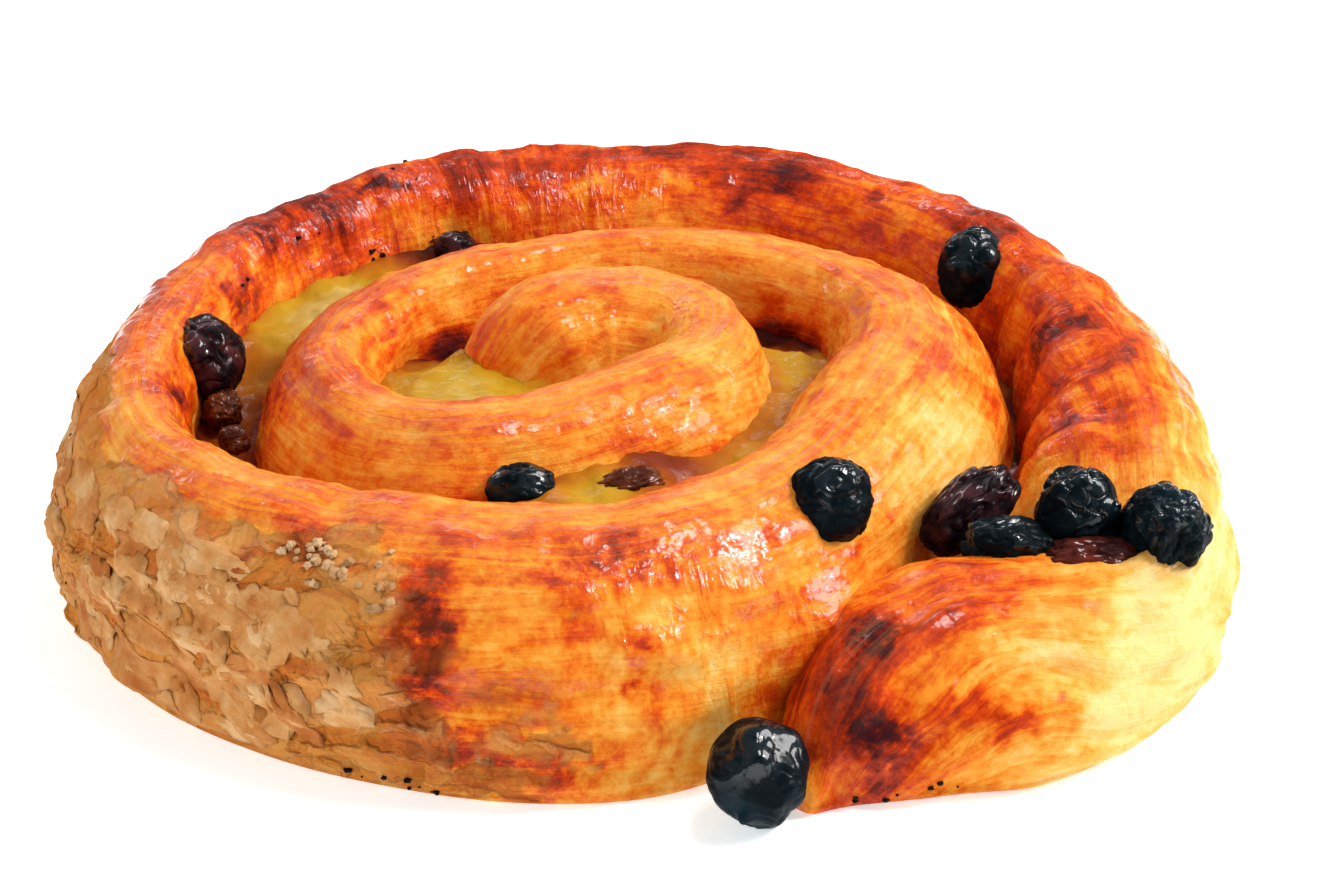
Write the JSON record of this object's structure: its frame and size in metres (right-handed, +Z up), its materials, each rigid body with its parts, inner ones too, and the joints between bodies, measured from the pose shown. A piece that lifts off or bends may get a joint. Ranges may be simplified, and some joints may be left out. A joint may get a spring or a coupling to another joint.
{
  "type": "pain aux raisins pastry",
  "caption": "Flat coil of glazed, browned laminated dough with a ragged flaky wall, custard between its turns and raisins along the grooves.",
  "frame": {"origin": "middle of the pastry's footprint, on the table plane under it", "axes": "+Z up out of the coil's top; -Y towards the side the picture was taken from; +X to its right, the side where the strip's loose end comes round to the front"},
  "size_m": [0.1198, 0.1186, 0.0272],
  "materials": {
    "dough": "baked laminated dough, satin egg glaze on the crests, dry and flaky low on the wall",
    "custard": "baked custard, wet gloss, slightly translucent",
    "raisin_blue_black": "dark raisin skin, waxy sheen",
    "raisin_purple": "purple-brown wrinkled raisin skin",
    "raisin_red": "dark red-brown raisin skin, glossy",
    "raisin_brown": "light brown translucent raisin, glossy"
  },
  "bodies": {
    "root": {"dough": "dough", "custard": "custard", "raisin_back_right": "raisin_blue_black", "raisin_on_wall": "raisin_blue_black", "raisin_at_front": "raisin_blue_black", "raisin_end_small": "raisin_blue_black", "raisin_end_middle": "raisin_blue_black", "raisin_end_right": "raisin_blue_black", "raisin_in_front_groove": "raisin_blue_black", "raisin_end_left": "raisin_purple", "raisin_back_left": "raisin_purple", "raisin_end_low": "raisin_red", "raisin_left": "raisin_red", "raisin_left_low": "raisin_brown", "raisin_half_sunk": "raisin_brown", "raisin_in_left_groove": "raisin_brown"}
  },
  "joints": []
}
